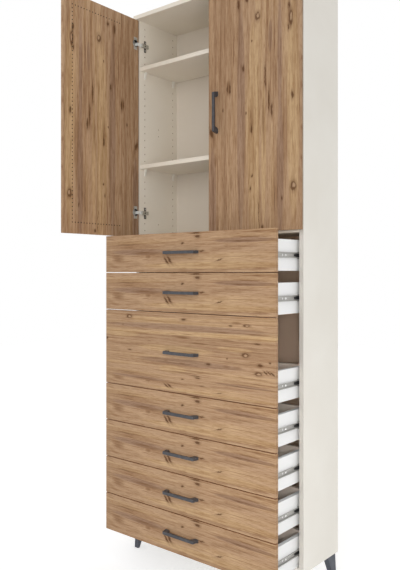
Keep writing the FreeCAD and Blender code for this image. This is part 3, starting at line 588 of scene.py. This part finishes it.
def hingeScrews():
    plateLow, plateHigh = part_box("hinge_plates")
    cupLow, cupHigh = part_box("right_hinge_cups")
    heights = (plateLow.z + hingeScrew["plateHalf"], plateHigh.z - hingeScrew["plateHalf"])
    onPlates = bmesh.new()
    onArms = bmesh.new()
    for wall, inward in ((plateLow.x, 1), (plateHigh.x, -1)):
        turn = Matrix.Rotation(inward * pi / 2, 4, "Y")
        for height in heights:
            for up in (-1, 1):
                seat = Matrix.Translation((wall + inward * hingeScrew["plateThick"],
                                           sideFront + hingeScrew["plateBack"],
                                           height + up * hingeScrew["wing"]))
                addScrew(onPlates, seat @ turn, hingeScrew["radius"], hingeScrew["rise"])
            seat = Matrix.Translation((wall + inward * hingeScrew["armSeat"],
                                       sideFront + hingeScrew["armBack"], height))
            addScrew(onArms, seat @ turn, hingeScrew["radius"], hingeScrew["rise"])
    finishPiece("hinge_plate_screws", onPlates, screwMetal, "carcass")
    finishPiece("hinge_arm_screws", onArms, leverPlastic, "carcass")
    for side in ("left", "right"):
        onCups = bmesh.new()
        cupX = (cupLow.x + cupHigh.x) / 2
        if side == "left":
            cupX = 2 * middleX - cupX
        for height in heights:
            for up in (-1, 1):
                seat = Matrix.Translation((cupX, cupHigh.y, height + up * hingeScrew["flange"]))
                seat = reopened(side) @ seat @ faceBack
                addScrew(onCups, seat, hingeScrew["radius"], hingeScrew["cupRise"])
        finishPiece("%s_cup_screws" % side, onCups, screwMetal, "%s_door" % side)


hingeScrews()
print("hinge screws made")

# release levers in the runners, black, one for each side of a drawer, and a screw in front of each
lever = {"behind": 0.146, "length": 0.036, "high": 0.0071, "nose": 0.0035, "clear": 0.0006,
         "thick": 0.0052, "noseDeep": 0.5, "round": 0.0008}
runnerScrew = {"behind": 0.088, "web": 0.0012, "radius": 0.0042, "rise": 0.0022}


def slideFittings(number):
    low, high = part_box("drawer_%d_runners" % number)
    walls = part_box("drawer_%d_box" % number)
    middleZ = (low.z + high.z) / 2
    levers = bmesh.new()
    screws = bmesh.new()
    for wall, out in zip(walls, (-1, 1)):
        web = wall.x + out * runnerScrew["web"]
        centre = Vector((web + out * (lever["clear"] + lever["thick"] / 2),
                         low.y + lever["behind"] + lever["length"] / 2, middleZ))
        size = Matrix.Diagonal((lever["thick"], lever["length"], lever["high"] * 2, 1))
        block = bmesh.ops.create_cube(levers, size=1, matrix=Matrix.Translation(centre) @ size)
        for vert in block["verts"]:
            if vert.co.y < centre.y:  # the nose is slimmer and lies deeper
                vert.co.z = middleZ + (lever["nose"] if vert.co.z > middleZ else -lever["nose"])
                if (vert.co.x - centre.x) * out > 0:
                    vert.co.x -= out * lever["thick"] * lever["noseDeep"]
        corners = list({edge for vert in block["verts"] for edge in vert.link_edges})
        bmesh.ops.bevel(levers, geom=corners, offset=lever["round"], affect="EDGES",
                        segments=2, profile=0.5, material=-1)
        seat = Matrix.Translation((web, low.y + runnerScrew["behind"], middleZ))
        turn = Matrix.Rotation(out * pi / 2, 4, "Y")
        addScrew(screws, seat @ turn, runnerScrew["radius"], runnerScrew["rise"])
    body = "drawer_%d" % number
    finishPiece("drawer_%d_release_levers" % number, levers, leverPlastic, body)
    finishPiece("drawer_%d_runner_screws" % number, screws, brightMetal, body)


for number in drawerNumbers:
    slideFittings(number)
print("slide fittings made")

# floor, light and camera
stage = {"half": 8, "light": (0.9, 0.9, 0.9, 1), "dark": (0.89, 0.89, 0.89, 1), "cloud": 2, "rough": 0.9,
         "glow": 0.32, "ambient": 0.78}
floorMesh = bmesh.new()
bmesh.ops.create_grid(floorMesh, x_segments=2, y_segments=2, size=stage["half"])
floorData = bpy.data.meshes.new("floor")
floorMesh.to_mesh(floorData)
floorMesh.free()
floor = bpy.data.objects.new("floor", floorData)
bpy.context.scene.collection.objects.link(floor)


# seen straight on or in a gloss, the surroundings are brighter than the light that they give
def seenDirectly(tree):
    path = addNode(tree, "ShaderNodeLightPath", {}).outputs
    seen = calculate(tree, "MAXIMUM", path["Is Camera Ray"], path["Is Glossy Ray"])
    return calculate(tree, "MAXIMUM", seen, path["Is Transmission Ray"])


floorPaint, floorTree, floorShader = newMaterial("floorPaint")
floorShader.inputs["Roughness"].default_value = stage["rough"]
floorShader.inputs["Specular IOR Level"].default_value = 0
mottle = noise(floorTree, objectCoords(floorTree), stage["cloud"])
floorTone = ramp(floorTree, mottle, [(noiseSpan["low"], stage["dark"]),
                                     (noiseSpan["high"], stage["light"])])
floorTree.links.new(floorTone, floorShader.inputs["Base Color"])
floorShader.inputs["Emission Color"].default_value = white
floorGlow = spread(floorTree, seenDirectly(floorTree), 0, 1, 0, stage["glow"])
floorTree.links.new(floorGlow, floorShader.inputs["Emission Strength"])
floorData.materials.append(floorPaint)

world = bpy.data.worlds.new("studio")
world.use_nodes = True
bpy.context.scene.world = world
worldTree = world.node_tree
backdrop = worldTree.nodes["Background"]
backdrop.inputs["Color"].default_value = white
worldTree.links.new(spread(worldTree, seenDirectly(worldTree), 0, 1, stage["ambient"], 1),
                    backdrop.inputs["Strength"])

# lamps: place, target, size, power and fan
lamps = {
    "sideLamp": ((2.4, -0.7, 0.15), (0.45, 0, 0.3), 1.4, 5.0, 180),
    "frontLamp": ((1.6, -4.0, 2.6), (-0.2, 0, 1.9), 2.4, 30, 180),
    "nearLamp": ((2.0, -2.4, 1.2), (0.1, 0, 0.45), 0.45, 2.5, 58),
    "doorLamp": ((2.4, -1.9, 1.0), (-0.46, -0.25, 2.1), 0.5, 0.4, 28),
}
for name, (place, target, size, power, fan) in lamps.items():
    lampData = bpy.data.lights.new(name, "AREA")
    lampData.shape = "DISK"
    lampData.size = size
    lampData.energy = power
    lampData.spread = radians(fan)
    lamp = bpy.data.objects.new(name, lampData)
    lamp.location = place
    lamp.rotation_euler = (Vector(target) - Vector(place)).to_track_quat("-Z", "Y").to_euler()
    bpy.context.scene.collection.objects.link(lamp)

view = {"place": (1.738697, -2.064555, 1.257283), "turn": 0.69562, "lens": 41.859, "sensor": 36,
        "shiftX": 0.0013, "shiftY": -0.02285}
cameraData = bpy.data.cameras.new("camera")
cameraData.lens = view["lens"]
cameraData.sensor_width = view["sensor"]
cameraData.shift_x = view["shiftX"]
cameraData.shift_y = view["shiftY"]
camera = bpy.data.objects.new("camera", cameraData)
camera.location = view["place"]
camera.rotation_euler = (pi / 2, 0, view["turn"])
bpy.context.scene.collection.objects.link(camera)
bpy.context.scene.camera = camera
bpy.context.scene.view_settings.view_transform = "Standard"
print("stage set")
